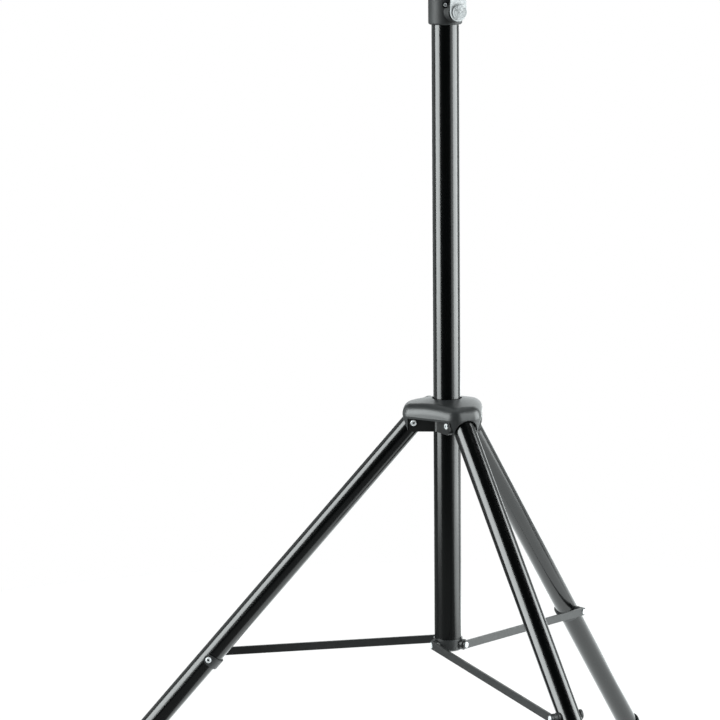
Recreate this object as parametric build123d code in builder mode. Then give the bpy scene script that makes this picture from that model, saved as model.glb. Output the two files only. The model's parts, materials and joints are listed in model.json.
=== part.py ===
"""Tripod speaker stand: a 40 mm mast with a telescoping 35 mm pole, three folding tube legs on a
sliding hub, and three flat struts.

Frame: millimetres, +Z up. The origin lies on the floor, on the mast's axis. The legs stand at
60, 180 and 300 degrees round +Z, and the model is drawn with the legs spread and the pole down.
"""
from build123d import *
from math import cos, radians, sin, sqrt
import os

os.makedirs("parts", exist_ok=True)

# Driving dimensions ------------------------------------------------------------------------

LEG_AZIMUTHS = {"rear": 60, "left": 180, "front": 300}
LEG_TILT = 40.5                # degrees from vertical, legs spread
PIVOT_Z = 632.0                # height of the leg pivots
PIVOT_R = 48.0                 # from the mast's axis to a leg pivot

MAST_R = 20.0
MAST_WALL = 1.5
MAST_BOTTOM = 303.5
MAST_TOP = 1268.0

POLE_R = 17.5
POLE_WALL = 1.5
POLE_BOTTOM = 330.0
POLE_TOP = 1437.0

LEG_R = 16.0
LEG_WALL = 1.2
LEG_TOP = -2.5                 # along the leg from its pivot, down is positive
LEG_END = 806.0
BRACKET_S = 475.0              # along the leg from its pivot to the strut pivot

STRUT_Z = 295.0                # height of the strut pivots on the base casting
STRUT_INSET = 3.0              # strut pivot, outward of the mast's axis
STRUT_FACE = 26.5              # from a leg's own plane to the strut's near face
STRUT_THICK = 3.0
STRUT_HALF_HEIGHT = 6.0

COLLAR_R = 24.5
COLLAR_BOTTOM = 1211.0
COLLAR_TOP = 1291.0
CLAMP_AZIMUTH = -54
CLAMP_Z = COLLAR_BOTTOM + 19.0

LOCK_AZIMUTH = 120
LOCK_Z = PIVOT_Z - 3.0

PIN_AZIMUTH = 36
PIN_R = 4.0
PIN_Z = 1297.5
PIN_PITCH = 100.0              # between the height holes of the pole
PIN_HOLES = 9

RIVET_HEAD_R = 4.4
RIVET_HEAD_T = 1.7
RIVET_BORE_R = 1.8

RUNNING_GAP = 0.08             # radial, between a pivot and its hole
SLIP_GAP = 0.3                 # between flat faces of bodies that move past each other
FIT_GAP = 0.05                 # radial, between pieces of one body
PRESS_GAP = 0.12               # between a shoe or pad at rest and the tube it presses on


# Frames --------------------------------------------------------------------------------------

def outward(azimuth):
    return Vector(cos(radians(azimuth)), sin(radians(azimuth)), 0)


def sideways(azimuth):
    """The right-hand side of someone who looks outward along this azimuth."""
    return Vector(sin(radians(azimuth)), -cos(radians(azimuth)), 0)


def down_leg(azimuth):
    tilt = radians(LEG_TILT)
    return outward(azimuth) * sin(tilt) + Vector(0, 0, -cos(tilt))


def pivot_point(azimuth):
    return outward(azimuth) * PIVOT_R + Vector(0, 0, PIVOT_Z)


def leg_section(azimuth, along):
    """Square to the leg: X sideways, Y towards its underside, Z down the leg."""
    origin = pivot_point(azimuth) + down_leg(azimuth) * along
    return Plane(origin=origin, x_dir=sideways(azimuth), z_dir=down_leg(azimuth))


def leg_side(azimuth, along):
    """The leg's own plane: X down the leg, Z sideways."""
    origin = pivot_point(azimuth) + down_leg(azimuth) * along
    return Plane(origin=origin, x_dir=down_leg(azimuth), z_dir=sideways(azimuth))


def upright_side(azimuth, distance, height):
    """The upright plane of a leg: X outward, Y up, Z sideways."""
    origin = outward(azimuth) * distance + Vector(0, 0, height)
    return Plane(origin=origin, x_dir=outward(azimuth), z_dir=sideways(azimuth))


def facing_out(azimuth, distance, height):
    """An upright plane that faces outward: Y up, Z away from the mast."""
    origin = outward(azimuth) * distance + Vector(0, 0, height)
    return Plane(origin=origin, x_dir=-sideways(azimuth), z_dir=outward(azimuth))


def save(part, label):
    part.label = label
    export_step(part, f"parts/{label}.step")


# Mast ------------------------------------------------------------------------------------------

SHOE_R = 6.9
COLLAR_SCREW_Z = COLLAR_BOTTOM + 29.0
COLLAR_SCREW_AZIMUTHS = (-87, 33, 153)
COLLAR_SCREW_SHANK_R = 2.0
COLLAR_SCREW_HEAD_R = 2.9
COLLAR_SCREW_SEAT = 21.9       # from the mast's axis to the bottom of the counterbore

with BuildPart() as mast_tube:
    with BuildSketch(Plane.XY.offset(MAST_BOTTOM)):
        Circle(MAST_R)
        Circle(MAST_R - MAST_WALL, mode=Mode.SUBTRACT)
    extrude(amount=MAST_TOP - MAST_BOTTOM)
    with BuildSketch(facing_out(CLAMP_AZIMUTH, 0, CLAMP_Z)):
        Circle(SHOE_R + SLIP_GAP)
    extrude(amount=MAST_R + 1, mode=Mode.SUBTRACT)
    for screw_azimuth in COLLAR_SCREW_AZIMUTHS:
        with BuildSketch(facing_out(screw_azimuth, 0, COLLAR_SCREW_Z)):
            Circle(COLLAR_SCREW_SHANK_R + FIT_GAP)
        extrude(amount=MAST_R + 1, mode=Mode.SUBTRACT)
save(mast_tube.part, "mast_tube")

# The casting closes the mast's foot and carries one boss for each strut.
BASE_FLANGE_R = 21.5
BASE_BOTTOM = 286.0
BASE_PLUG_TOP = 318.0
BASE_BOSS_R = 8.0
STRUT_PIN_R = 3.0
STRUT_PIN_START = 14.0         # from a leg's own plane to the pin's blind end

with BuildPart() as base_casting:
    with BuildSketch(Plane.XY.offset(BASE_BOTTOM)):
        Circle(BASE_FLANGE_R)
    extrude(amount=MAST_BOTTOM - BASE_BOTTOM)
    chamfer(base_casting.edges().group_by(Axis.Z)[0], 2)
    for azimuth in LEG_AZIMUTHS.values():
        with BuildSketch(upright_side(azimuth, STRUT_INSET, STRUT_Z)):
            Circle(BASE_BOSS_R)
        extrude(amount=STRUT_FACE - SLIP_GAP)
    with BuildSketch(Plane.XY.offset(MAST_BOTTOM)):
        Circle(MAST_R - MAST_WALL - FIT_GAP)
    extrude(amount=BASE_PLUG_TOP - MAST_BOTTOM)
    chamfer(base_casting.edges().group_by(Axis.Z)[-1], 1.5)
    for azimuth in LEG_AZIMUTHS.values():
        with BuildSketch(upright_side(azimuth, STRUT_INSET, STRUT_Z).offset(STRUT_PIN_START)):
            Circle(STRUT_PIN_R + FIT_GAP)
        extrude(amount=STRUT_FACE, mode=Mode.SUBTRACT)
save(base_casting.part, "base_casting")

STRUT_HEAD_R = 4.4
STRUT_HEAD_T = 1.9


def strut_pivot_rivet(azimuth):
    side = upright_side(azimuth, STRUT_INSET, STRUT_Z)
    under_head = STRUT_FACE + STRUT_THICK + SLIP_GAP
    with BuildPart() as rivet:
        with BuildSketch(side.offset(STRUT_PIN_START)):
            Circle(STRUT_PIN_R)
        extrude(amount=under_head - STRUT_PIN_START)
        with BuildSketch(side.offset(under_head)):
            Circle(STRUT_HEAD_R)
        extrude(amount=STRUT_HEAD_T)
        fillet(rivet.edges().group_by(Axis(side.origin, side.z_dir))[-1], STRUT_HEAD_T * 0.8)
    return rivet.part


save(Compound([strut_pivot_rivet(azimuth) for azimuth in LEG_AZIMUTHS.values()]), "strut_pivot_rivets")

# Collar at the mast's top, with the boss of the pole clamp --------------------------------------

CLAMP_BOSS_R = 15.5
CLAMP_BOSS_END = 31.5          # from the mast's axis
CLAMP_SCREW_R = 5.0
SHOE_POCKET_END = 25.6
COLLAR_SCREW_HOLE_R = 4.5

with BuildPart() as top_collar:
    with BuildSketch(Plane.XY.offset(COLLAR_BOTTOM)):
        Circle(COLLAR_R)
    extrude(amount=COLLAR_TOP - COLLAR_BOTTOM)
    fillet(top_collar.edges().group_by(Axis.Z)[0], 3.2)
    fillet(top_collar.edges().group_by(Axis.Z)[-1], 2.5)
    clamp_face = facing_out(CLAMP_AZIMUTH, 0, CLAMP_Z)
    with BuildSketch(clamp_face):
        Circle(CLAMP_BOSS_R)
    extrude(amount=CLAMP_BOSS_END)
    clamp_axis = Axis(clamp_face.origin, clamp_face.z_dir)
    fillet(top_collar.edges().filter_by(GeomType.CIRCLE).sort_by(clamp_axis)[-1], 1.5)
    with BuildSketch(Plane.XY.offset(COLLAR_BOTTOM)):
        Circle(MAST_R + FIT_GAP)
    extrude(amount=COLLAR_TOP - COLLAR_BOTTOM, mode=Mode.SUBTRACT)
    with BuildSketch(clamp_face):
        Circle(CLAMP_SCREW_R + RUNNING_GAP)
    extrude(amount=CLAMP_BOSS_END, mode=Mode.SUBTRACT)
    with BuildSketch(clamp_face):
        Circle(SHOE_R + RUNNING_GAP)
    extrude(amount=SHOE_POCKET_END, mode=Mode.SUBTRACT)
    for screw_azimuth in COLLAR_SCREW_AZIMUTHS:
        with BuildSketch(facing_out(screw_azimuth, 0, COLLAR_SCREW_Z)):
            Circle(COLLAR_SCREW_SHANK_R + FIT_GAP)
        extrude(amount=COLLAR_R, mode=Mode.SUBTRACT)
        with BuildSketch(facing_out(screw_azimuth, COLLAR_SCREW_SEAT, COLLAR_SCREW_Z)):
            Circle(COLLAR_SCREW_HOLE_R)
        extrude(amount=CLAMP_BOSS_R, mode=Mode.SUBTRACT)
save(top_collar.part, "top_collar")


def collar_screw(azimuth):
    shank_tip = MAST_R - MAST_WALL + 0.2
    head_height = 1.5
    with BuildPart() as screw:
        with BuildSketch(facing_out(azimuth, shank_tip, COLLAR_SCREW_Z)):
            Circle(COLLAR_SCREW_SHANK_R)
        extrude(amount=COLLAR_SCREW_SEAT - shank_tip)
        seat = facing_out(azimuth, COLLAR_SCREW_SEAT, COLLAR_SCREW_Z)
        with BuildSketch(seat):
            Circle(COLLAR_SCREW_HEAD_R)
        extrude(amount=head_height)
        fillet(screw.edges().group_by(Axis(seat.origin, seat.z_dir))[-1], 0.6)
        with BuildSketch(seat.offset(head_height)):
            RegularPolygon(1.6, 6)
        extrude(amount=-1.4, mode=Mode.SUBTRACT)
    return screw.part


save(Compound([collar_screw(azimuth) for azimuth in COLLAR_SCREW_AZIMUTHS]), "collar_screws")

BUSH_BOTTOM = MAST_TOP + 0.5
BUSH_FLANGE_T = 2.0

with BuildPart() as pole_bush:
    with BuildSketch(Plane.XY.offset(BUSH_BOTTOM)):
        Circle(MAST_R)
    extrude(amount=COLLAR_TOP - BUSH_BOTTOM)
    with BuildSketch(Plane.XY.offset(COLLAR_TOP)):
        Circle(COLLAR_R - 2)
    extrude(amount=BUSH_FLANGE_T)
    fillet(pole_bush.edges().group_by(Axis.Z)[-1], 1.2)
    with BuildSketch(Plane.XY.offset(BUSH_BOTTOM)):
        Circle(POLE_R + RUNNING_GAP)
    extrude(amount=COLLAR_TOP + BUSH_FLANGE_T - BUSH_BOTTOM, mode=Mode.SUBTRACT)
save(pole_bush.part, "pole_bush")

# Pole clamp: a screw with a lever turns against a shoe, which presses on the pole -----------------

SHOE_FACE = POLE_R + PRESS_GAP
SHOE_BACK = 24.6
SCREW_TIP = SHOE_BACK + 0.1
LEVER_NEAR = CLAMP_BOSS_END + 0.8
LEVER_THICK = 3.0
LEVER_ROOT_R = 13.4
LEVER_TIP_R = 9.0
LEVER_BEND_Z = 50.0            # above the clamp's axis
LEVER_BEND_R = 30.0
LEVER_TIP_Z = 96.0
LEVER_LEAN = 11.0              # how far the handle's tip leans outward
DISC_R = 11.2
DISC_THICK = 5.5
DISC_SPIGOT_R = 6.5

with BuildPart() as clamp_shoe:
    with BuildSketch(facing_out(CLAMP_AZIMUTH, SHOE_FACE, CLAMP_Z)):
        Circle(SHOE_R)
    extrude(amount=SHOE_BACK - SHOE_FACE)
save(clamp_shoe.part, "clamp_shoe")

with BuildPart() as clamp_screw:
    with BuildSketch(facing_out(CLAMP_AZIMUTH, SCREW_TIP, CLAMP_Z)):
        Circle(CLAMP_SCREW_R)
    extrude(amount=LEVER_NEAR + LEVER_THICK - SCREW_TIP)
save(clamp_screw.part, "clamp_screw")

with BuildPart() as clamp_lever:
    lever_side = upright_side(CLAMP_AZIMUTH, LEVER_NEAR, CLAMP_Z)
    with BuildSketch(lever_side):
        Polygon(
            (0, -LEVER_ROOT_R),
            (LEVER_THICK, -LEVER_ROOT_R),
            (LEVER_THICK, LEVER_BEND_Z),
            (LEVER_THICK + LEVER_LEAN, LEVER_TIP_Z + LEVER_TIP_R),
            (LEVER_LEAN, LEVER_TIP_Z + LEVER_TIP_R),
            (0, LEVER_BEND_Z),
            align=None,
        )
    extrude(amount=LEVER_ROOT_R, both=True)
    bend = clamp_lever.edges().filter_by(Axis(lever_side.origin, lever_side.z_dir)).group_by(Axis.Z)[1]
    fillet(bend, LEVER_BEND_R)
    with BuildSketch(facing_out(CLAMP_AZIMUTH, LEVER_NEAR - 1, CLAMP_Z)):
        Circle(LEVER_ROOT_R)
        with Locations((0, LEVER_TIP_Z)):
            Circle(LEVER_TIP_R)
        make_hull()
        Circle(CLAMP_SCREW_R, mode=Mode.SUBTRACT)
    extrude(amount=LEVER_THICK + LEVER_LEAN + 2, mode=Mode.INTERSECT)
save(clamp_lever.part, "clamp_lever")

with BuildPart() as clamp_disc:
    disc_face = facing_out(CLAMP_AZIMUTH, LEVER_NEAR + LEVER_THICK, CLAMP_Z)
    with BuildSketch(disc_face):
        Circle(DISC_R)
    extrude(amount=DISC_THICK)
    disc_axis = Axis(disc_face.origin, disc_face.z_dir)
    chamfer(clamp_disc.edges().group_by(disc_axis)[-1], 1.2)
    with BuildSketch(disc_face.offset(DISC_THICK)):
        Circle(DISC_SPIGOT_R + 1.5)
        Circle(DISC_SPIGOT_R + 0.7, mode=Mode.SUBTRACT)
    extrude(amount=-0.5, mode=Mode.SUBTRACT)
save(clamp_disc.part, "clamp_disc")

# Pole --------------------------------------------------------------------------------------------

CAP_THICK = 3.0
PLUG_LENGTH = 20.0
GROOVE_Z = 1308.0              # a shallow groove shows how deep the pole enters a speaker
GROOVE_WIDTH = 2.5
GROOVE_DEPTH = 0.4

with BuildPart() as pole_tube:
    with BuildSketch(Plane.XY.offset(POLE_BOTTOM)):
        Circle(POLE_R)
        Circle(POLE_R - POLE_WALL, mode=Mode.SUBTRACT)
    extrude(amount=POLE_TOP - POLE_BOTTOM)
    for step in range(PIN_HOLES):
        with BuildSketch(facing_out(PIN_AZIMUTH, 0, PIN_Z - step * PIN_PITCH)):
            Circle(PIN_R + RUNNING_GAP)
        extrude(amount=POLE_R + 1, both=True, mode=Mode.SUBTRACT)
    with BuildSketch(Plane.XY.offset(GROOVE_Z)):
        Circle(POLE_R + 1)
        Circle(POLE_R - GROOVE_DEPTH, mode=Mode.SUBTRACT)
    extrude(amount=GROOVE_WIDTH, mode=Mode.SUBTRACT)
save(pole_tube.part, "pole_tube")

with BuildPart() as pole_cap:
    with BuildSketch(Plane.XY.offset(POLE_TOP)):
        Circle(POLE_R)
    extrude(amount=CAP_THICK)
    fillet(pole_cap.edges().group_by(Axis.Z)[-1], 2)
    with BuildSketch(Plane.XY.offset(POLE_TOP)):
        Circle(POLE_R - POLE_WALL - FIT_GAP)
    extrude(amount=-PLUG_LENGTH)
save(pole_cap.part, "pole_cap")

with BuildPart() as pole_guide:
    with BuildSketch(Plane.XY.offset(POLE_BOTTOM)):
        Circle(MAST_R - MAST_WALL - RUNNING_GAP)
    extrude(amount=-PLUG_LENGTH / 2)
    chamfer(pole_guide.edges().group_by(Axis.Z)[0], 1)
    with BuildSketch(Plane.XY.offset(POLE_BOTTOM)):
        Circle(POLE_R - POLE_WALL - FIT_GAP)
    extrude(amount=PLUG_LENGTH)
save(pole_guide.part, "pole_guide")

# Safety pin ----------------------------------------------------------------------------------------

PIN_TAIL = 23.0
GRIP_START = 24.0
GRIP_LENGTH = 22.0
GRIP_R = 8.5
PIN_IN_GRIP = 12.0

with BuildPart() as safety_pin:
    pin_face = facing_out(PIN_AZIMUTH, -PIN_TAIL, PIN_Z)
    with BuildSketch(pin_face):
        Circle(PIN_R)
    extrude(amount=PIN_TAIL + GRIP_START + PIN_IN_GRIP)
    chamfer(safety_pin.edges().group_by(Axis(pin_face.origin, pin_face.z_dir))[0], 1.5)
save(safety_pin.part, "safety_pin")

with BuildPart() as pin_grip:
    grip_face = facing_out(PIN_AZIMUTH, GRIP_START, PIN_Z)
    grip_axis = Axis(grip_face.origin, grip_face.z_dir)
    with BuildSketch(grip_face):
        Circle(GRIP_R * 0.75)
    extrude(amount=GRIP_LENGTH / 2)
    with BuildSketch(grip_face.offset(GRIP_LENGTH / 2)):
        Circle(GRIP_R)
    extrude(amount=GRIP_LENGTH / 2)
    fillet(pin_grip.edges().filter_by(GeomType.CIRCLE).sort_by(grip_axis)[-1], 4)
    fillet(pin_grip.edges().filter_by(GeomType.CIRCLE).sort_by(grip_axis)[0], 1)
    with BuildSketch(grip_face):
        Circle(PIN_R)
    extrude(amount=PIN_IN_GRIP, mode=Mode.SUBTRACT)
save(pin_grip.part, "pin_grip")

# Hub -------------------------------------------------------------------------------------------------

HUB_CORE_R = 27.0
HUB_CORE_BOTTOM = PIVOT_Z - 11.0
HUB_CORE_TOP = PIVOT_Z + 28.0
HUB_BUSH_R = 23.0
HUB_BUSH_FLANGE = 2.0
EAR_NEAR = 20.0                # from the leg's own plane
EAR_FAR = 26.5
EAR_END = 55.5                 # from the mast's axis
EAR_BOTTOM = PIVOT_Z - 13.0
EAR_TOP = PIVOT_Z + 11.0
EAR_CORNER_R = 7.0
EAR_VALLEY_R = 5.0             # between the ears of two neighbouring legs
EAR_BOSS_R = 9.0
EAR_BOSS_FACE = LEG_R + SLIP_GAP
PIVOT_PIN_R = 4.0
LOCK_BOSS_R = 8.5
LOCK_BOSS_END = 50.0           # from the mast's axis
LOCK_SCREW_R = 4.0
PAD_R = 5.0
PAD_BACK = 26.0
LOCK_TIP = PAD_BACK + 0.1      # where the lock screw ends

# The cover is a shell with three rounded ends, joined by straight sides. It is widest at its waist
# and leans in below it. Its skirt is short along the sides, and at each end a nose reaches down
# past the ears, with an arch for the leg.
COVER_HALF_WIDTH = 30.0
COVER_REACH = 65.0
COVER_WALL = 2.7
COVER_ROOF = 3.2
COVER_CORNER_R = 20.0
COVER_HOLE_R = 22.0
COVER_RIM_Z = PIVOT_Z + 33.0
COVER_SLOPE = 0.184            # fall of the roof for each millimetre outward
COVER_ROLL_R = 16.0
COVER_WAIST_Z = PIVOT_Z + 9.5
COVER_LEAN = 13                # degrees
COVER_BOTTOM = PIVOT_Z - 14.5
COVER_EAR_GAP = 0.6
SKIRT_Z = PIVOT_Z + 6.3
NOSE_START = 57.0              # from the mast's axis
NOSE_ROUND_R = 17.9
ARCH_R = 18.6
ARCH_TOP = PIVOT_Z + 8.5


def cover_plan(inset, height):
    """The cover's outline at its waist, seen from above and shrunk by inset, at this height."""
    with BuildSketch(Plane.XY.offset(height)) as plan:
        with PolarLocations(COVER_REACH - COVER_CORNER_R, 3, start_angle=LEG_AZIMUTHS["rear"]):
            with GridLocations(1, 2 * (COVER_HALF_WIDTH - COVER_CORNER_R), 1, 2):
                Circle(COVER_CORNER_R - inset)
        make_hull()
    return plan.sketch


def casting_plan(height):
    """The outline of the six ears and the core, seen from above."""
    with BuildSketch(Plane.XY.offset(height)) as plan:
        with PolarLocations(0, 3, start_angle=LEG_AZIMUTHS["rear"]):
            Rectangle(EAR_END, 2 * EAR_FAR, align=(Align.MIN, Align.CENTER))
        valleys = plan.vertices().group_by(lambda v: round(Vector(v.X, v.Y, 0).length))[0]
        fillet(valleys, EAR_VALLEY_R)
        with PolarLocations(0, 3, start_angle=LEG_AZIMUTHS["rear"]):
            Rectangle(EAR_END, 2 * EAR_NEAR, align=(Align.MIN, Align.CENTER), mode=Mode.SUBTRACT)
        Circle(HUB_CORE_R)
    return plan.sketch


with BuildPart() as hub_casting:
    add(casting_plan(EAR_BOTTOM))
    extrude(amount=EAR_TOP - EAR_BOTTOM)
    for azimuth in LEG_AZIMUTHS.values():
        across = Axis((0, 0, 0), sideways(azimuth))
        along = Axis((0, 0, 0), outward(azimuth))
        ear_ends = hub_casting.edges().filter_by(across).group_by(Axis.Z)[0]
        fillet(ear_ends.group_by(along)[-1], EAR_CORNER_R)
    with BuildSketch(Plane.XY.offset(SKIRT_Z - COVER_EAR_GAP)):
        Circle(2 * COVER_REACH)
        add(cover_plan(COVER_WALL + COVER_EAR_GAP, SKIRT_Z - COVER_EAR_GAP), mode=Mode.SUBTRACT)
    extrude(amount=EAR_TOP - SKIRT_Z + COVER_EAR_GAP, mode=Mode.SUBTRACT)
    with BuildSketch(Plane.XY.offset(EAR_BOTTOM)):
        Circle(HUB_CORE_R)
    extrude(amount=HUB_CORE_TOP - EAR_BOTTOM)
    for azimuth in LEG_AZIMUTHS.values():
        for side in (-1, 1):
            with BuildSketch(upright_side(azimuth, PIVOT_R, PIVOT_Z).offset(side * EAR_BOSS_FACE)):
                Circle(EAR_BOSS_R)
            extrude(amount=side * (EAR_NEAR - EAR_BOSS_FACE))
    with BuildSketch(facing_out(LOCK_AZIMUTH, 0, LOCK_Z)):
        Circle(LOCK_BOSS_R)
    extrude(amount=LOCK_BOSS_END)
    with BuildSketch(Plane.XY.offset(EAR_BOTTOM)):
        Circle(HUB_BUSH_R + FIT_GAP)
    extrude(amount=HUB_CORE_TOP - EAR_BOTTOM, mode=Mode.SUBTRACT)
    with BuildSketch(Plane.XY.offset(EAR_BOTTOM)):
        Circle(HUB_CORE_R - 1 + FIT_GAP)
    extrude(amount=HUB_CORE_BOTTOM - EAR_BOTTOM, mode=Mode.SUBTRACT)
    for azimuth in LEG_AZIMUTHS.values():
        with BuildSketch(upright_side(azimuth, PIVOT_R, PIVOT_Z)):
            Circle(PIVOT_PIN_R + FIT_GAP)
        extrude(amount=EAR_FAR, both=True, mode=Mode.SUBTRACT)
    with BuildSketch(facing_out(LOCK_AZIMUTH, MAST_R, LOCK_Z)):
        Circle(LOCK_SCREW_R + RUNNING_GAP)
    extrude(amount=LOCK_BOSS_END - MAST_R, mode=Mode.SUBTRACT)
    with BuildSketch(facing_out(LOCK_AZIMUTH, MAST_R, LOCK_Z)):
        Circle(PAD_R + RUNNING_GAP)
    extrude(amount=PAD_BACK + 2 - MAST_R, mode=Mode.SUBTRACT)
save(hub_casting.part, "hub_casting")

with BuildPart() as hub_bush:
    with BuildSketch(Plane.XY.offset(HUB_CORE_BOTTOM)):
        Circle(HUB_BUSH_R)
        Circle(MAST_R + RUNNING_GAP, mode=Mode.SUBTRACT)
    extrude(amount=HUB_CORE_TOP - HUB_CORE_BOTTOM)
    with BuildSketch(Plane.XY.offset(HUB_CORE_BOTTOM)):
        Circle(HUB_CORE_R - 1)
        Circle(MAST_R + RUNNING_GAP, mode=Mode.SUBTRACT)
    extrude(amount=-HUB_BUSH_FLANGE)
    with BuildSketch(facing_out(LOCK_AZIMUTH, 0, LOCK_Z)):
        Circle(PAD_R + RUNNING_GAP)
    extrude(amount=HUB_CORE_R, mode=Mode.SUBTRACT)
save(hub_bush.part, "hub_bush")


def leg_pivot_rivet(azimuth):
    """A tubular rivet through both ears, with a rolled head at each end."""
    side = upright_side(azimuth, PIVOT_R, PIVOT_Z)
    with BuildPart() as rivet:
        with BuildSketch(side):
            Circle(PIVOT_PIN_R)
        extrude(amount=EAR_FAR, both=True)
        for end in (-1, 1):
            with BuildSketch(side.offset(end * EAR_FAR)):
                Circle(RIVET_HEAD_R)
            extrude(amount=end * RIVET_HEAD_T)
        rims = rivet.edges().group_by(Axis(side.origin, side.z_dir))
        fillet(rims[0] + rims[-1], RIVET_HEAD_T * 0.6)
        with BuildSketch(side):
            Circle(RIVET_BORE_R)
        extrude(amount=EAR_FAR + RIVET_HEAD_T, both=True, mode=Mode.SUBTRACT)
    return rivet.part


save(Compound([leg_pivot_rivet(azimuth) for azimuth in LEG_AZIMUTHS.values()]), "leg_pivot_rivets")


def cover_form(inset, roof_drop):
    """The cover's outer form, shrunk by inset at its sides, with its roof lowered by roof_drop."""
    with BuildPart() as form:
        add(cover_plan(inset, COVER_WAIST_Z))
        extrude(amount=COVER_RIM_Z - COVER_WAIST_Z)
        rim = COVER_RIM_Z - roof_drop
        past_reach = COVER_REACH + 10
        fall = (past_reach - COVER_HOLE_R) * COVER_SLOPE
        with BuildSketch(Plane.XZ):
            Polygon(
                (0, COVER_WAIST_Z),
                (past_reach, COVER_WAIST_Z),
                (past_reach, rim - fall),
                (COVER_HOLE_R, rim),
                (0, rim),
                align=None,
            )
        revolve(axis=Axis.Z, mode=Mode.INTERSECT)
        roof = form.faces().filter_by(GeomType.CONE)[0]
        eaves = [edge for edge in roof.edges() if edge.center().Z < rim - 2]
        fillet(eaves, COVER_ROLL_R - inset)
        add(cover_plan(inset, COVER_WAIST_Z))
        extrude(amount=COVER_WAIST_Z - COVER_BOTTOM, dir=(0, 0, -1), taper=COVER_LEAN)
    return form.part


with BuildPart() as hub_cover:
    add(cover_form(0, 0))
    add(cover_form(COVER_WALL, COVER_ROOF), mode=Mode.SUBTRACT)
    with BuildSketch(Plane.XY.offset(COVER_BOTTOM)):
        Circle(COVER_HOLE_R)
    extrude(amount=COVER_RIM_Z - COVER_BOTTOM, mode=Mode.SUBTRACT)
    with BuildSketch(Plane.XY.offset(COVER_BOTTOM)):
        with PolarLocations(0, 3, start_angle=LEG_AZIMUTHS["rear"]):
            Rectangle(NOSE_START, 4 * COVER_HALF_WIDTH, align=(Align.MIN, Align.CENTER))
    extrude(amount=SKIRT_Z - COVER_BOTTOM, mode=Mode.SUBTRACT)
    for azimuth in LEG_AZIMUTHS.values():
        pivot_side = upright_side(azimuth, PIVOT_R, PIVOT_Z)
        with BuildSketch(pivot_side):
            Rectangle(2 * NOSE_ROUND_R, 2 * NOSE_ROUND_R, align=(Align.MIN, Align.MAX))
            Circle(NOSE_ROUND_R, mode=Mode.SUBTRACT)
        extrude(amount=COVER_HALF_WIDTH + 1, both=True, mode=Mode.SUBTRACT)
        with BuildSketch(facing_out(azimuth, PIVOT_R, ARCH_TOP - ARCH_R)):
            Circle(ARCH_R)
            Rectangle(2 * ARCH_R, 2 * ARCH_R, align=(Align.CENTER, Align.MAX))
        extrude(amount=COVER_REACH - PIVOT_R + 1, mode=Mode.SUBTRACT)
save(hub_cover.part, "hub_cover")

# Hub lock: a knob turns a screw against a brass pad, which presses on the mast --------------------

KNOB_START = 58.0              # from the mast's axis
KNOB_THICK = 17.0
KNOB_NECK_R = 11.0
KNOB_NECK = 4.0
KNOB_CORE_R = 15.0
LOBE_R = 9.0
LOBE_PITCH_R = 20.0
LOBE_TURN = -20                # degrees, first lobe from straight up
SCREW_IN_KNOB = 10.0

with BuildPart() as lock_pad:
    with BuildSketch(facing_out(LOCK_AZIMUTH, MAST_R + PRESS_GAP, LOCK_Z)):
        Circle(PAD_R)
    extrude(amount=PAD_BACK - MAST_R - PRESS_GAP)
save(lock_pad.part, "lock_pad")

with BuildPart() as lock_screw:
    with BuildSketch(facing_out(LOCK_AZIMUTH, LOCK_TIP, LOCK_Z)):
        Circle(LOCK_SCREW_R)
    extrude(amount=KNOB_START + SCREW_IN_KNOB - LOCK_TIP)
save(lock_screw.part, "lock_screw")

with BuildPart() as lock_knob:
    knob_face = facing_out(LOCK_AZIMUTH, KNOB_START, LOCK_Z)
    with BuildSketch(knob_face) as star:
        Circle(KNOB_CORE_R)
        with PolarLocations(LOBE_PITCH_R, 3, start_angle=90 - LOBE_TURN):
            Circle(LOBE_R)
        fillet(star.vertices(), 7)
    extrude(amount=KNOB_THICK)
    knob_axis = Axis(knob_face.origin, knob_face.z_dir)
    fillet(lock_knob.edges().group_by(knob_axis)[-1], 4)
    fillet(lock_knob.edges().group_by(knob_axis)[0], 2)
    with BuildSketch(knob_face):
        Circle(KNOB_NECK_R)
    extrude(amount=-KNOB_NECK)
    with BuildSketch(knob_face.offset(-KNOB_NECK)):
        Circle(LOCK_SCREW_R)
    extrude(amount=KNOB_NECK + SCREW_IN_KNOB, mode=Mode.SUBTRACT)
save(lock_knob.part, "lock_knob")

# Legs -------------------------------------------------------------------------------------------------

LEG_PLUG_REACH = 14.0          # above the pivot
LEG_NOSE_R = 14.6
LEG_PLUG_DEPTH = 26.0
BRACKET_WALL = 3.0
BRACKET_FACE = 19.5            # from the leg's own plane to the bracket's flanks
BRACKET_FLANK = 2.5            # how far down the flanks stay flat, below the rivet
BRACKET_HALF_LENGTH = 8.0
BRACKET_EAR_R = 7.3
BRACKET_BOSS_R = 6.5
BRACKET_PIN_R = 3.5
FOOT_START = 780.0             # along the leg from its pivot
FOOT_END = 846.0
FOOT_R = 19.0
FOOT_LIP_R = 19.6
FOOT_LIP = 6.0


def leg_tube(azimuth):
    with BuildPart() as tube:
        with BuildSketch(leg_section(azimuth, LEG_TOP)):
            Circle(LEG_R)
            Circle(LEG_R - LEG_WALL, mode=Mode.SUBTRACT)
        extrude(amount=LEG_END - LEG_TOP)
        for along, pin_r in ((0, PIVOT_PIN_R + RUNNING_GAP), (BRACKET_S, BRACKET_PIN_R + FIT_GAP)):
            with BuildSketch(leg_side(azimuth, along)):
                Circle(pin_r)
            extrude(amount=LEG_R + 1, both=True, mode=Mode.SUBTRACT)
    return tube.part


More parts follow.
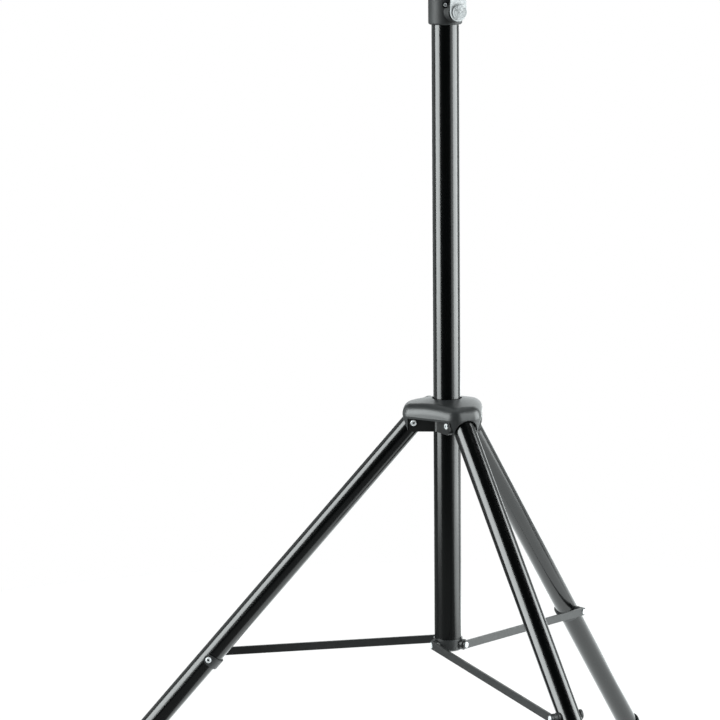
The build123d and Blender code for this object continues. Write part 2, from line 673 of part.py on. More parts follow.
def leg_plug(azimuth):
    """Fills the leg's top, with a round nose that clears the cover as the leg swings."""
    with BuildPart() as plug:
        with BuildSketch(leg_section(azimuth, LEG_TOP)):
            Circle(LEG_R - LEG_WALL - FIT_GAP)
        extrude(amount=LEG_PLUG_DEPTH - LEG_TOP)
        with BuildSketch(leg_section(azimuth, LEG_TOP)):
            Circle(LEG_R)
        extrude(amount=LEG_TOP + LEG_PLUG_REACH, dir=-down_leg(azimuth))
        with BuildSketch(leg_side(azimuth, 0)):
            Circle(LEG_NOSE_R)
            Rectangle(LEG_PLUG_DEPTH + 5, 2 * LEG_R, align=(Align.MIN, Align.CENTER))
        extrude(amount=LEG_R + 1, both=True, mode=Mode.INTERSECT)
        with BuildSketch(leg_side(azimuth, 0)):
            Circle(PIVOT_PIN_R + RUNNING_GAP)
        extrude(amount=LEG_R + 1, both=True, mode=Mode.SUBTRACT)
    return plug.part


def leg_bracket(azimuth):
    """A saddle round the leg's underside. Its flanks carry the rivet, one of them on a boss."""
    near_end = leg_section(azimuth, BRACKET_S - BRACKET_HALF_LENGTH)
    side = leg_side(azimuth, BRACKET_S)
    with BuildPart() as bracket:
        with BuildSketch(near_end):
            with BuildLine():
                ears = Polyline(
                    (BRACKET_FACE, BRACKET_FLANK),
                    (BRACKET_FACE, -BRACKET_EAR_R),
                    (-BRACKET_FACE, -BRACKET_EAR_R),
                    (-BRACKET_FACE, BRACKET_FLANK),
                )
                ThreePointArc(ears @ 1, (0, LEG_R + BRACKET_WALL), ears @ 0)
            make_face()
            Circle(LEG_R + FIT_GAP, mode=Mode.SUBTRACT)
            Rectangle(
                2 * (LEG_R + FIT_GAP),
                BRACKET_EAR_R,
                align=(Align.CENTER, Align.MAX),
                mode=Mode.SUBTRACT,
            )
        extrude(amount=2 * BRACKET_HALF_LENGTH)
        with BuildSketch(side):
            Circle(BRACKET_EAR_R)
            with Locations((0, -LEG_R)):
                Rectangle(2 * BRACKET_HALF_LENGTH, LEG_R)
            make_hull()
        extrude(amount=BRACKET_FACE, both=True, mode=Mode.INTERSECT)
        with BuildSketch(side.offset(BRACKET_FACE)):
            Circle(BRACKET_BOSS_R)
        extrude(amount=STRUT_FACE - SLIP_GAP - BRACKET_FACE)
        with BuildSketch(side):
            Circle(BRACKET_PIN_R + FIT_GAP)
        extrude(amount=STRUT_FACE, both=True, mode=Mode.SUBTRACT)
    return bracket.part


def leg_rivet(azimuth):
    """Goes through bracket and leg. The strut's own rivet stands where its far head would be."""
    side = leg_side(azimuth, BRACKET_S)
    far_end = STRUT_FACE - SLIP_GAP
    with BuildPart() as rivet:
        with BuildSketch(side.offset(-BRACKET_FACE)):
            Circle(BRACKET_PIN_R)
        extrude(amount=BRACKET_FACE + far_end)
        with BuildSketch(side.offset(-BRACKET_FACE)):
            Circle(RIVET_HEAD_R)
        extrude(amount=-RIVET_HEAD_T)
        fillet(rivet.edges().group_by(Axis(side.origin, side.z_dir))[0], RIVET_HEAD_T * 0.6)
        with BuildSketch(side):
            Circle(RIVET_BORE_R)
        extrude(amount=far_end + 1, both=True, mode=Mode.SUBTRACT)
    return rivet.part


def leg_foot(azimuth):
    """A rubber boot over the leg's end, cut level with the floor."""
    with BuildPart() as foot:
        with BuildSketch(leg_section(azimuth, FOOT_START)):
            Circle(FOOT_R)
        extrude(amount=FOOT_END - FOOT_START)
        boot_axis = Axis(leg_section(azimuth, FOOT_START).origin, down_leg(azimuth))
        fillet(foot.edges().group_by(boot_axis)[-1], 6)
        with BuildSketch(leg_section(azimuth, FOOT_START)):
            Circle(FOOT_LIP_R)
        extrude(amount=FOOT_LIP)
        fillet(foot.edges().group_by(boot_axis)[0], 1)
        with BuildSketch(leg_section(azimuth, FOOT_START)):
            Circle(LEG_R + FIT_GAP)
        extrude(amount=LEG_END - FOOT_START, mode=Mode.SUBTRACT)
        split(bisect_by=Plane.XY, keep=Keep.TOP)
    return foot.part


STRUT_RUN = PIVOT_R + BRACKET_S * sin(radians(LEG_TILT)) - STRUT_INSET
STRUT_RISE = PIVOT_Z - BRACKET_S * cos(radians(LEG_TILT)) - STRUT_Z
STRUT_LENGTH = sqrt(STRUT_RUN**2 + STRUT_RISE**2)


def strut_side(azimuth, along):
    """The strut's own plane: X along the strut, Z sideways. Its origin is on the strut's line."""
    direction = outward(azimuth) * (STRUT_RUN / STRUT_LENGTH) + Vector(0, 0, STRUT_RISE / STRUT_LENGTH)
    inner_pivot = outward(azimuth) * STRUT_INSET + Vector(0, 0, STRUT_Z)
    return Plane(origin=inner_pivot + direction * along, x_dir=direction, z_dir=sideways(azimuth))


def strut(azimuth):
    with BuildPart() as bar:
        with BuildSketch(strut_side(azimuth, 0).offset(STRUT_FACE)):
            with Locations((STRUT_LENGTH / 2, 0)):
                SlotCenterToCenter(STRUT_LENGTH, 2 * STRUT_HALF_HEIGHT)
            Circle(STRUT_PIN_R + RUNNING_GAP, mode=Mode.SUBTRACT)
            with Locations((STRUT_LENGTH, 0)):
                Circle(STRUT_PIN_R + FIT_GAP, mode=Mode.SUBTRACT)
        extrude(amount=STRUT_THICK)
    return bar.part


def strut_rivet(azimuth):
    """The outer rivet's near half, which rides in the strut."""
    end = strut_side(azimuth, STRUT_LENGTH).offset(STRUT_FACE)
    with BuildPart() as rivet:
        with BuildSketch(end):
            Circle(STRUT_PIN_R)
        extrude(amount=STRUT_THICK)
        with BuildSketch(end.offset(STRUT_THICK)):
            Circle(STRUT_HEAD_R)
        extrude(amount=STRUT_HEAD_T)
        fillet(rivet.edges().group_by(Axis(end.origin, end.z_dir))[-1], STRUT_HEAD_T * 0.8)
    return rivet.part


for name, azimuth in LEG_AZIMUTHS.items():
    save(leg_tube(azimuth), f"{name}_leg_tube")
    save(leg_plug(azimuth), f"{name}_leg_plug")
    save(leg_bracket(azimuth), f"{name}_leg_bracket")
    save(leg_rivet(azimuth), f"{name}_leg_rivet")
    save(leg_foot(azimuth), f"{name}_leg_foot")
    save(strut(azimuth), f"{name}_strut")
    save(strut_rivet(azimuth), f"{name}_strut_rivet")
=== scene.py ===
"""The looks of the tripod speaker stand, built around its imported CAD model. Lengths are in metres."""
import json
import math

import bmesh
import bpy
from mathutils import Matrix, Vector


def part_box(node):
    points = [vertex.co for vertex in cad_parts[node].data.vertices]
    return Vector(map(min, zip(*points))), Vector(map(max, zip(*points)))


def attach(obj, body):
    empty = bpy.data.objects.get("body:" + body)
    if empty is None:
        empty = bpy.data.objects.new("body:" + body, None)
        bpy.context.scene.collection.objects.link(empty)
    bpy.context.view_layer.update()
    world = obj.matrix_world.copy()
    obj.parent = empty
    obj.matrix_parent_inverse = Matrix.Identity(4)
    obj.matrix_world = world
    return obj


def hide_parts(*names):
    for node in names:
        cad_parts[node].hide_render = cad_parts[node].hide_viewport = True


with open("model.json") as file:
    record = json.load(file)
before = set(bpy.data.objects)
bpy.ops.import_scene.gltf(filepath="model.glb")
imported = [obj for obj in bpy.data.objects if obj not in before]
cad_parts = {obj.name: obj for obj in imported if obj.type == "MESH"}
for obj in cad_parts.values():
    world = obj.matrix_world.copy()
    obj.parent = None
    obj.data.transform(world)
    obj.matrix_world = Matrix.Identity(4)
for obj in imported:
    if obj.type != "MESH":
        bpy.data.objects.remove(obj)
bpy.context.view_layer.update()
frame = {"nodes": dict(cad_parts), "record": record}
scene = bpy.context.scene
nodes = frame["nodes"]
LEGS = ("rear", "left", "front")


# Camera, lights and floor --------------------------------------------------------------------------

CAMERA_AIM = (-0.1274, 0.0, 0.7208)
CAMERA_DISTANCE = 4.648
CAMERA_HEADING = -3.593        # degrees from +Y towards +X
CAMERA_PITCH = 9.368           # degrees below the horizon
CAMERA_ROLL = -0.525           # degrees
CAMERA_LENS = 158.3            # millimetres
CAMERA_SENSOR = 36             # millimetres


def turned(heading, pitch, roll):
    """The rotation of something that faces this heading and looks down by pitch, in degrees."""
    upright = Matrix.Rotation(math.radians(90 - pitch), 4, "X")
    level = Matrix.Rotation(math.radians(-heading), 4, "Z")
    return level @ upright @ Matrix.Rotation(math.radians(roll), 4, "Z")


def add_camera():
    """The photo's camera, level with the top of the stand and looking a little down."""
    data = bpy.data.cameras.new("camera")
    data.lens = CAMERA_LENS
    data.sensor_width = CAMERA_SENSOR
    camera = bpy.data.objects.new("camera", data)
    scene.collection.objects.link(camera)
    back = Matrix.Translation((0, 0, CAMERA_DISTANCE))
    turn = turned(CAMERA_HEADING, CAMERA_PITCH, CAMERA_ROLL)
    camera.matrix_world = Matrix.Translation(CAMERA_AIM) @ turn @ back
    scene.camera = camera


LIGHT_COLOUR = (0.95, 1.0, 1.0)


def add_light(name, shape, width, height, radiance, place):
    """An area light of this radiance. Surfaces mirror it, and the camera doesn't see it."""
    area = width * height * (math.pi / 4 if shape == "DISK" else 1)
    data = bpy.data.lights.new(name, "AREA")
    data.shape = shape
    data.size = width
    data.size_y = height
    data.energy = radiance * math.pi * area
    data.color = LIGHT_COLOUR
    light = bpy.data.objects.new(name, data)
    light.matrix_world = place
    light.visible_camera = False
    scene.collection.objects.link(light)


def add_softbox(name, azimuth, distance, width, bands):
    """A wall of soft light at this azimuth round +Z, with -90 on the camera's side.

    bands holds (bottom, top, radiance) for each strip of it.
    """
    round_the_stand = Matrix.Rotation(math.radians(azimuth), 4, "Z")
    inward = Matrix.Rotation(math.pi / 2, 4, "Z") @ Matrix.Rotation(math.pi / 2, 4, "X")
    for index, (bottom, top, radiance) in enumerate(bands):
        centre = Matrix.Translation((distance, 0, (top + bottom) / 2))
        place = round_the_stand @ centre @ inward
        add_light(f"{name}_{index}", "RECTANGLE", width, top - bottom, radiance, place)


GLOW_HEIGHT = 0.001            # above the floor
WIDE_GLOW_HEIGHT = 0.0005      # the widest glow lies under the others


def add_floor_glow(name, centre, radius, radiance, height=GLOW_HEIGHT):
    """The light that comes back up from a bright stretch of the floor."""
    place = Matrix.Translation((*centre, height)) @ Matrix.Rotation(math.pi, 4, "X")
    add_light(name, "DISK", 2 * radius, 2 * radius, radiance, place)


CEILING_CENTRE = (0, 0.6, 3.2)
CEILING_WIDTH = 2.4


def add_ceiling(radiance):
    """A square of soft light over the stand."""
    place = Matrix.Translation(CEILING_CENTRE)
    add_light("ceiling", "SQUARE", CEILING_WIDTH, CEILING_WIDTH, radiance, place)


FLOOR_R = 1.8
FLOOR_GREY = 0.12              # dark, so that only faint shadows show
FLOOR_GLOW = 0.85              # brings the floor back close to white


def add_floor():
    """A round white floor. Shiny surfaces mirror the glows just above it instead."""
    mesh = bpy.data.meshes.new("floor")
    sheet = bmesh.new()
    bmesh.ops.create_circle(sheet, cap_ends=True, segments=128, radius=FLOOR_R)
    sheet.to_mesh(mesh)
    sheet.free()
    floor = bpy.data.objects.new("floor", mesh)
    floor.visible_glossy = False
    scene.collection.objects.link(floor)
    material = bpy.data.materials.new("floor_white")
    material.use_nodes = True
    shader = material.node_tree.nodes["Principled BSDF"]
    shader.inputs["Base Color"].default_value = (FLOOR_GREY, FLOOR_GREY, FLOOR_GREY, 1)
    shader.inputs["Roughness"].default_value = 0.9
    shader.inputs["Specular IOR Level"].default_value = 0.1
    shader.inputs["Emission Color"].default_value = (1, 1, 1, 1)
    shader.inputs["Emission Strength"].default_value = FLOOR_GLOW
    mesh.materials.append(material)


def add_world():
    """The white background that the camera sees. It lights nothing."""
    world = bpy.data.worlds.new("studio")
    world.use_nodes = True
    background = world.node_tree.nodes["Background"]
    background.inputs["Color"].default_value = (1, 1, 1, 1)
    background.inputs["Strength"].default_value = 1.0
    world.cycles_visibility.glossy = False
    world.cycles_visibility.diffuse = False
    scene.world = world


add_camera()
add_world()
add_floor()
add_softbox("key_left", -160, 2.2, 1.6, [(0.0, 0.14, 2), (0.14, 0.42, 8), (0.42, 2.3, 11.5)])
add_softbox("key_right", 1, 2.2, 2.0, [(0.02, 0.3, 4.8), (0.3, 2.5, 10.5)])
add_softbox("inner_right", -34, 2.2, 0.85, [(0.02, 0.3, 1.2), (0.3, 2.5, 2.2)])
add_softbox("backdrop", 86, 3.0, 2.4, [(0.05, 3.05, 2.0)])
add_softbox("far_left", 146, 3.0, 2.2, [(0.05, 3.0, 0.62)])
add_softbox("far_right", 43, 3.0, 2.0, [(0.05, 3.0, 0.6)])
add_floor_glow("floor_under", (0.4, 0.55), 0.9, 1.7)
add_floor_glow("floor_right", (2.3, -0.1), 1.1, 4)
add_floor_glow("floor_behind", (0.8, 2.5), 1.5, 1.6)
add_floor_glow("floor_all_round", (0, 0.4), 2.6, 0.24, WIDE_GLOW_HEIGHT)
add_ceiling(1.2)
scene.view_settings.view_transform = "Standard"


# Materials -----------------------------------------------------------------------------------------

class Finish:
    """A procedural material. Its texture space is the model's own frame, in metres."""

    def __init__(self, name, metallic=0.0, specular=0.5):
        self.material = bpy.data.materials.new(name)
        self.material.use_nodes = True
        self.tree = self.material.node_tree
        self.shader = self.tree.nodes["Principled BSDF"]
        self.shader.inputs["Metallic"].default_value = metallic
        self.shader.inputs["Specular IOR Level"].default_value = specular
        self.place = self.tree.nodes.new("ShaderNodeTexCoord").outputs["Object"]
        self.bump = None

    def node(self, kind, **inputs):
        """A new shader node, with its inputs set to values or joined to sockets."""
        made = self.tree.nodes.new(kind)
        for name, value in inputs.items():
            socket = made.inputs[name.replace("_", " ")]
            if isinstance(value, bpy.types.NodeSocket):
                self.tree.links.new(value, socket)
            else:
                socket.default_value = value
        return made

    def noise(self, per_metre, detail, stretch=None):
        """Noise from 0 to 1. stretch makes its cells this many times longer along X, Y and Z."""
        place = self.place
        if stretch:
            mapping = self.node("ShaderNodeMapping", Vector=place)
            mapping.vector_type = "TEXTURE"
            mapping.inputs["Scale"].default_value = stretch
            place = mapping.outputs["Vector"]
        noise = self.node("ShaderNodeTexNoise", Vector=place, Scale=per_metre, Detail=detail)
        return noise.outputs["Fac"]

    def between(self, factor, low, high, start=0.3, end=0.7):
        """A number that goes from low to high as factor goes from start to end."""
        spread = self.node("ShaderNodeMapRange", Value=factor)
        spread.inputs["From Min"].default_value = start
        spread.inputs["From Max"].default_value = end
        spread.inputs["To Min"].default_value = low
        spread.inputs["To Max"].default_value = high
        return spread.outputs["Result"]

    def colour(self, factor, dark, light, start=0.3, end=0.7):
        """A colour that goes from dark to light as factor goes from start to end."""
        ramp = self.node("ShaderNodeValToRGB", Fac=factor)
        ramp.color_ramp.elements[0].position = start
        ramp.color_ramp.elements[0].color = (*dark, 1)
        ramp.color_ramp.elements[1].position = end
        ramp.color_ramp.elements[1].color = (*light, 1)
        return ramp.outputs["Color"]

    def set(self, name, value):
        """Joins a socket to an input of the main shader."""
        self.tree.links.new(value, self.shader.inputs[name])

    def relief(self, height, depth):
        """Adds a bump of this depth in metres."""
        bump = self.node("ShaderNodeBump", Height=height, Strength=1.0, Distance=depth)
        if self.bump:
            self.tree.links.new(self.bump, bump.inputs["Normal"])
        self.bump = bump.outputs["Normal"]
        self.tree.links.new(self.bump, self.shader.inputs["Normal"])


def gloss_tube():
    """The mast, the pole and the legs: gloss black paint with faint upright streaks."""
    finish = Finish("gloss_black_paint")
    clouds = finish.noise(9, 4)
    finish.set("Base Color", finish.colour(clouds, (0.0007, 0.0009, 0.0009), (0.0015, 0.0018, 0.0018)))
    streaks = finish.noise(160, 3, stretch=(1, 1, 14))
    finish.set("Roughness", finish.between(streaks, 0.17, 0.205))
    finish.relief(finish.noise(260, 2), 0.0000035)
    return finish.material


def sprayed_casting(name, dark, light, smooth, rough, specular):
    """Grey paint sprayed on a die casting: fine grains over the casting's own soft bumps."""
    finish = Finish(name, specular=specular)
    finish.set("Base Color", finish.colour(finish.noise(30, 5), dark, light))
    finish.set("Roughness", finish.between(finish.noise(420, 4), smooth, rough))
    finish.relief(finish.noise(1400, 2), 0.00002)
    finish.relief(finish.noise(240, 3), 0.00003)
    return finish.material


def dark_casting():
    """The hub's cover and the mast's bottom casting have a soft shine."""
    dark, light = (0.0115, 0.0125, 0.0128), (0.0185, 0.02, 0.0204)
    return sprayed_casting("satin_grey_casting", dark, light, smooth=0.35, rough=0.42, specular=0.5)


def matt_collar():
    """The collar is the same grey, sprayed duller."""
    dark, light = (0.009, 0.0098, 0.01), (0.0145, 0.0158, 0.016)
    return sprayed_casting("matt_grey_casting", dark, light, smooth=0.48, rough=0.56, specular=0.32)


def bracket_nylon():
    """The brackets on the legs are handled most, and scuffed to a greyer black."""
    finish = Finish("scuffed_black_nylon")
    scuffs = finish.noise(60, 6)
    dark, light = (0.013, 0.014, 0.0145), (0.026, 0.0275, 0.028)
    finish.set("Base Color", finish.colour(scuffs, dark, light, 0.3, 0.75))
    finish.set("Roughness", finish.between(finish.noise(420, 4), 0.42, 0.55))
    finish.relief(finish.noise(1100, 3), 0.00003)
    return finish.material


def black_casting():
    """The hub casting: black glass-filled nylon."""
    finish = Finish("satin_black_nylon")
    clouds = finish.noise(40, 5)
    finish.set("Base Color", finish.colour(clouds, (0.0014, 0.0016, 0.0016), (0.0032, 0.0035, 0.0036)))
    finish.set("Roughness", finish.between(finish.noise(420, 4), 0.36, 0.46))
    finish.relief(finish.noise(1100, 3), 0.00003)
    return finish.material


def black_plastic():
    """The bushes, plugs, guide, cap, knob and grip: moulded black nylon."""
    finish = Finish("black_nylon")
    clouds = finish.noise(50, 4)
    finish.set("Base Color", finish.colour(clouds, (0.004, 0.004, 0.0045), (0.008, 0.008, 0.0085)))
    finish.set("Roughness", finish.between(finish.noise(700, 3), 0.40, 0.52))
    finish.relief(finish.noise(1500, 2), 0.00003)
    return finish.material


def grey_strut():
    """The flat struts: satin paint, greyer than the tubes'."""
    finish = Finish("satin_strut_paint")
    clouds = finish.noise(25, 5)
    finish.set("Base Color", finish.colour(clouds, (0.007, 0.0078, 0.008), (0.011, 0.0118, 0.012)))
    finish.set("Roughness", finish.between(finish.noise(220, 4), 0.40, 0.50))
    finish.relief(finish.noise(1200, 3), 0.00002)
    return finish.material


def zinc():
    """Rivets, screws and the pin: bright zinc plate."""
    finish = Finish("bright_zinc", metallic=0.3)
    bloom = finish.noise(350, 4)
    finish.set("Base Color", finish.colour(bloom, (0.45, 0.47, 0.48), (0.72, 0.745, 0.755)))
    finish.set("Roughness", finish.between(finish.noise(900, 3), 0.28, 0.42))
    finish.relief(finish.noise(1800, 2), 0.00002)
    return finish.material


def silver_lever():
    """The clamp's lever and dial: a fine silver coat on cast metal."""
    finish = Finish("silver_coat")
    mottle = finish.noise(420, 5)
    dark, light = (0.215, 0.227, 0.231), (0.32, 0.335, 0.34)
    finish.set("Base Color", finish.colour(mottle, dark, light, 0.25, 0.7))
    finish.set("Roughness", finish.between(finish.noise(800, 4), 0.42, 0.55))
    finish.relief(finish.noise(900, 4), 0.00006)
    return finish.material


def brass_pad():
    """The pad and the shoe that press on the tubes: machined brass."""
    finish = Finish("brass", metallic=1.0)
    tarnish = finish.noise(200, 4)
    finish.set("Base Color", finish.colour(tarnish, (0.55, 0.40, 0.16), (0.72, 0.54, 0.24)))
    finish.set("Roughness", finish.between(finish.noise(700, 3), 0.28, 0.4))
    finish.relief(finish.noise(1500, 2), 0.00003)
    return finish.material


def rubber():
    """The boots: matt black rubber with a little dust on it."""
    finish = Finish("black_rubber", specular=0.35)
    dust = finish.noise(45, 6)
    finish.set("Base Color", finish.colour(dust, (0.006, 0.006, 0.006), (0.013, 0.013, 0.0125), 0.35, 0.8))
    finish.set("Roughness", finish.between(finish.noise(300, 4), 0.55, 0.72))
    finish.relief(finish.noise(1300, 3), 0.00005)
    return finish.material


# The record's material slots.
MATERIALS = {
    "gloss_tube": gloss_tube(),
    "dark_casting": dark_casting(),
    "black_casting": black_casting(),
    "black_plastic": black_plastic(),
    "grey_strut": grey_strut(),
    "zinc": zinc(),
    "silver_lever": silver_lever(),
    "brass_pad": brass_pad(),
    "rubber": rubber(),
}

# Nodes whose look differs from the rest of their slot.
bracket_finish = bracket_nylon()
OWN_FINISH = {"top_collar": matt_collar()}
for leg_name in LEGS:
    OWN_FINISH[f"{leg_name}_leg_bracket"] = bracket_finish

for name, node in nodes.items():
    for material_slot in node.material_slots:
        slot = material_slot.material.name.split(".")[0]
        material_slot.material = OWN_FINISH.get(name, MATERIALS[slot])


# Pieces that stand for plainer CAD solids ----------------------------------------------------------

JOINTS = {joint["name"]: joint for joint in frame["record"]["behaviour"]["joints"]}
SHARP_EDGE = math.radians(32)          # a sharper bend than this is shaded as an edge
BEVELLED_EDGE = math.radians(40)       # a sharper bend than this gets a bevel


def span(node, axis):
    """How far along this axis, from the frame's origin, a node starts and ends."""
    places = [axis.dot(vertex.co) for vertex in nodes[node].data.vertices]
    return min(places), max(places)


def facing(axis, through):
    """A place with Z along axis, on the line through this point, where Z counts as span does."""
    foot = through - axis * axis.dot(through)
    side = Vector((0, 0, 1)).cross(axis).normalized()
    turn = Matrix((side, axis.cross(side), axis)).transposed().to_4x4()
    return Matrix.Translation(foot) @ turn


def turned_sheet(profile, shape, segments):
    """The closed surface that turned_piece describes, round the Z axis."""
    sheet = bmesh.new()
    rings = []
    for radius, height in profile:
        if radius == 0:
            rings.append([sheet.verts.new((0, 0, height))])
            continue
        ring = []
        for index in range(segments):
            angle = 2 * math.pi * index / segments
            reach = radius * (shape(angle, height) if shape else 1)
            ring.append(sheet.verts.new((reach * math.cos(angle), reach * math.sin(angle), height)))
        rings.append(ring)
    for lower, upper in zip(rings, rings[1:]):
        for index in range(segments):
            after = (index + 1) % segments
            if len(lower) == 1:
                sheet.faces.new((lower[0], upper[after], upper[index]))
            elif len(upper) == 1:
                sheet.faces.new((lower[index], lower[after], upper[0]))
            else:
                sheet.faces.new((lower[index], lower[after], upper[after], upper[index]))
    bmesh.ops.recalc_face_normals(sheet, faces=sheet.faces)
    return sheet


def cut_at_floor(sheet):
    """Takes off what is below the floor and closes the cut with a flat sole."""
    everything = sheet.verts[:] + sheet.edges[:] + sheet.faces[:]
    cut = bmesh.ops.bisect_plane(
        sheet, geom=everything, plane_co=(0, 0, 0), plane_no=(0, 0, -1), clear_outer=True
    )
    rim = [item for item in cut["geom_cut"] if isinstance(item, bmesh.types.BMEdge)]
    bmesh.ops.edgenet_fill(sheet, edges=rim)
    bmesh.ops.recalc_face_normals(sheet, faces=sheet.faces)


def turned_piece(
    name, node, slot, profile, place, shape=None, segments=96, floor_cut=False, round_off=0.0003
):
    """A turned solid round place's Z axis that replaces a CAD node.

    profile holds (radius, height) pairs, from the axis round the outside and back to the axis. shape
    gives a factor for the radius at an angle and a height. round_off is the width of the bevel on
    sharp edges.
    """
    sheet = turned_sheet(profile, shape, segments)
    sheet.transform(place)
    if floor_cut:
        cut_at_floor(sheet)
    mesh = bpy.data.meshes.new(name)
    sheet.to_mesh(mesh)
    sheet.free()
    mesh.polygons.foreach_set("use_smooth", [True] * len(mesh.polygons))
    mesh.set_sharp_from_angle(angle=SHARP_EDGE)
    mesh.materials.append(MATERIALS[slot])
    piece = bpy.data.objects.new(name, mesh)
    scene.collection.objects.link(piece)
    if round_off:
        bevel = piece.modifiers.new("edges", "BEVEL")
        bevel.width = round_off
        bevel.segments = 2
        bevel.limit_method = "ANGLE"
        bevel.angle_limit = BEVELLED_EDGE
    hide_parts(node)
    return piece


HINGE_SLACK = 0.01             # degrees that a leg's hinge can turn past the leg's folded state


def down_the_leg(leg):
    """A leg's pivot, and the way the leg points from there at rest."""
    hinge = JOINTS[f"{leg}_leg_hinge"]
    pivot = Vector(hinge["pos_m"])
    swing = math.radians(hinge["range_deg"][1] - HINGE_SLACK)
    out = Vector((pivot.x, pivot.y, 0)).normalized()
    return pivot, out * math.sin(swing) - Vector((0, 0, math.cos(swing)))


BOOT_REACH = 0.846             # from the leg's pivot to the boot's end, before the sole is cut
BOOT_R = 0.019
BOOT_END_ROUND = 0.006
BOOT_LIP_R = 0.0196
BOOT_LIP = 0.0055              # how far down the leg the lip goes
BOOT_LIP_ROUND = 0.001
BOOT_LIP_STEP = 0.0007         # from the end of the lip to the boot's plain wall
BOOT_BORE_R = 0.01605
BOOT_BORE_PLAY = 0.0001        # between the end of the tube and the end of the bore
BOOT_GROOVES = 5
BOOT_FIRST_GROOVE = 0.011      # from the boot's top edge
BOOT_GROOVE_PITCH = 0.0048
BOOT_GROOVE = 0.002            # wide
BOOT_GROOVE_SIDE = 0.0004      # the slope on each side of it
BOOT_GROOVE_DEPTH = 0.0009


def add_boot(leg):
    """The rubber boot on a leg's end: a lip, grip ribs between grooves and a sole on the floor."""
    pivot, axis = down_the_leg(leg)
    start = span(f"{leg}_leg_foot", axis)[0]
    bore_end = span(f"{leg}_leg_tube", axis)[1] + BOOT_BORE_PLAY
    lip_end = start + BOOT_LIP
    profile = [(0, bore_end), (BOOT_BORE_R, bore_end), (BOOT_BORE_R, start)]
    profile += [(BOOT_LIP_R - BOOT_LIP_ROUND, start), (BOOT_LIP_R, start + BOOT_LIP_ROUND)]
    profile += [(BOOT_LIP_R, lip_end), (BOOT_R, lip_end + BOOT_LIP_STEP)]
    for index in range(BOOT_GROOVES):
        top = start + BOOT_FIRST_GROOVE + index * BOOT_GROOVE_PITCH
        bottom = top + BOOT_GROOVE
        profile += [(BOOT_R, top), (BOOT_R - BOOT_GROOVE_DEPTH, top + BOOT_GROOVE_SIDE)]
        profile += [(BOOT_R - BOOT_GROOVE_DEPTH, bottom - BOOT_GROOVE_SIDE), (BOOT_R, bottom)]
    end = axis.dot(pivot) + BOOT_REACH
    for degrees in range(0, 91, 15):
        across = BOOT_END_ROUND * (1 - math.cos(math.radians(degrees)))
        along = BOOT_END_ROUND * (1 - math.sin(math.radians(degrees)))
        profile.append((BOOT_R - across, end - along))
    profile.append((0, end))
    place = facing(axis, pivot)
    boot = turned_piece(f"{leg}_boot", f"{leg}_leg_foot", "rubber", profile, place, floor_cut=True)
    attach(boot, f"{leg}_leg")


DIAL_CHAMFER = 0.0012          # across the face
DIAL_CHAMFER_DEPTH = 0.001
DIAL_GROOVE_DEPTH = 0.0005
DIAL_LAND = 0.0004             # from the chamfer to the first ring
DIAL_RING = 0.0012             # the width of a ring at its foot
DIAL_RING_SIDE = 0.0003        # the slope on each side of it
DIAL_RING_PITCH = 0.0017
DIAL_RING_SINK = 0.00002       # the tops of the rings stay this far inside the CAD solid
DIAL_CENTRE_R = 0.0016         # no ring starts closer in than this
DIAL_POINT_R = 0.0008          # the mark that the lathe's centre left
DIAL_POINT_TOP = 0.0004
DIAL_POINT_DEPTH = 0.0009


def add_dial():
    """The turned cap on the clamp's lever, with the lathe's rings on its face."""
    joint = JOINTS["clamp_lever_turn"]
    axis = Vector(joint["axis"])
    near, far = span("clamp_disc", axis)
    low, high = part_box("clamp_disc")
    radius = (high[2] - low[2]) / 2
    groove = far - DIAL_GROOVE_DEPTH
    profile = [(0, near), (radius, near), (radius, groove - DIAL_CHAMFER_DEPTH)]
    profile.append((radius - DIAL_CHAMFER, groove))
    top = far - DIAL_RING_SINK
    ring = radius - DIAL_CHAMFER - DIAL_LAND
    profile.append((ring, groove))
    while ring > DIAL_CENTRE_R:
        inner = ring - DIAL_RING
        profile += [(ring - DIAL_RING_SIDE, top), (inner + DIAL_RING_SIDE, top), (inner, groove)]
        ring -= DIAL_RING_PITCH
    profile += [(DIAL_POINT_R, far - DIAL_POINT_TOP), (0, far - DIAL_POINT_DEPTH)]
    place = facing(axis, Vector(joint["pos_m"]))
    dial = turned_piece("clamp_dial", "clamp_disc", "silver_lever", profile, place, round_off=0)
    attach(dial, "clamp_lever")


HANDLE_LOBES = 3
HANDLE_FIRST_LOBE = math.radians(110)  # round the screw, from level
HANDLE_WAIST = 0.535           # the radius between two lobes, as a part of the radius at a lobe
HANDLE_FULLNESS = 0.8          # below 1, the lobes are fuller than a cosine
HANDLE_NECK = 0.004            # its height
HANDLE_NECK_R = 0.011
HANDLE_NECK_EDGE = 0.0005


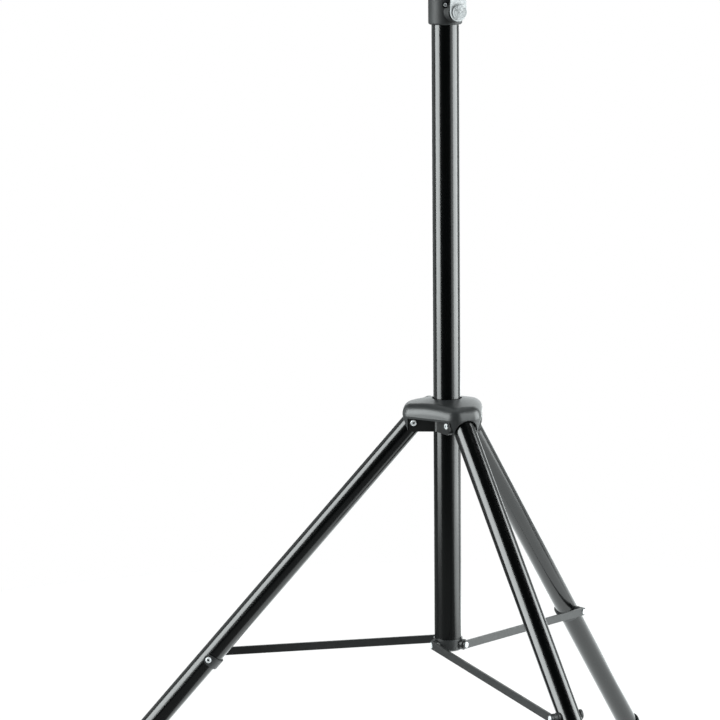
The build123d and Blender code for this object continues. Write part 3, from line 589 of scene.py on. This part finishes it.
def add_lock_handle():
    """A three-lobed handle with soft edges and a dished face."""
    joint = JOINTS["lock_knob_turn"]
    axis = Vector(joint["axis"])
    near, far = span("lock_knob", axis)
    lobes = near + HANDLE_NECK
    profile = [(0, near), (HANDLE_NECK_R - HANDLE_NECK_EDGE, near)]
    profile += [(HANDLE_NECK_R, near + HANDLE_NECK_EDGE), (HANDLE_NECK_R, lobes)]
    profile += [(0.0264, lobes + 0.0003), (0.0282, lobes + 0.0014), (0.0289, lobes + 0.0034)]
    profile += [(0.0290, lobes + 0.0080), (0.0288, lobes + 0.0120), (0.0278, lobes + 0.0146)]
    profile += [(0.0258, lobes + 0.0163), (0.0230, lobes + 0.0170), (0.0150, far)]
    profile += [(0.0125, far - 0.0012), (0.0095, far - 0.0018), (0, far - 0.0018)]

    def lobed(angle, height):
        """Round along the neck, and three lobes above it."""
        if height <= lobes:
            return 1
        wave = (1 + math.cos(HANDLE_LOBES * (angle - HANDLE_FIRST_LOBE))) / 2
        return HANDLE_WAIST + (1 - HANDLE_WAIST) * wave ** HANDLE_FULLNESS

    place = facing(axis, Vector(joint["pos_m"]))
    handle = turned_piece(
        "lock_handle", "lock_knob", "black_plastic", profile, place, lobed, round_off=0
    )
    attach(handle, "lock_knob")


GRIP_FLUTES = 16
GRIP_FLUTE_DEPTH = 0.035       # as a part of the radius
GRIP_NECK_END = 0.001          # past the grip's middle


def add_pin_handle():
    """The safety pin's grip, fluted so that a finger and thumb can pull it."""
    axis = Vector(JOINTS["safety_pin_pull"]["axis"])
    near, far = span("pin_grip", axis)
    low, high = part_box("pin_grip")
    half = (near + far) / 2
    head = half + GRIP_NECK_END
    profile = [(0, near), (0.0054, near), (0.0063, near + 0.0008), (0.00635, half - 0.002)]
    profile += [(0.0072, half - 0.0005), (0.0083, head), (0.0085, half + 0.0025)]
    profile += [(0.0085, far - 0.005), (0.0081, far - 0.0025), (0.0070, far - 0.001)]
    profile += [(0.0050, far - 0.0002), (0, far)]

    def fluted(angle, height):
        """Flutes on the grip's head, and none on its neck."""
        if height < head:
            return 1
        wave = (1 - math.cos(GRIP_FLUTES * angle)) / 2
        return 1 - GRIP_FLUTE_DEPTH * wave ** 2

    place = facing(axis, (Vector(low) + Vector(high)) / 2)
    grip = turned_piece(
        "pin_handle", "pin_grip", "black_plastic", profile, place, fluted, segments=128
    )
    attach(grip, "safety_pin")


for leg_name in LEGS:
    add_boot(leg_name)
add_dial()
add_lock_handle()
add_pin_handle()
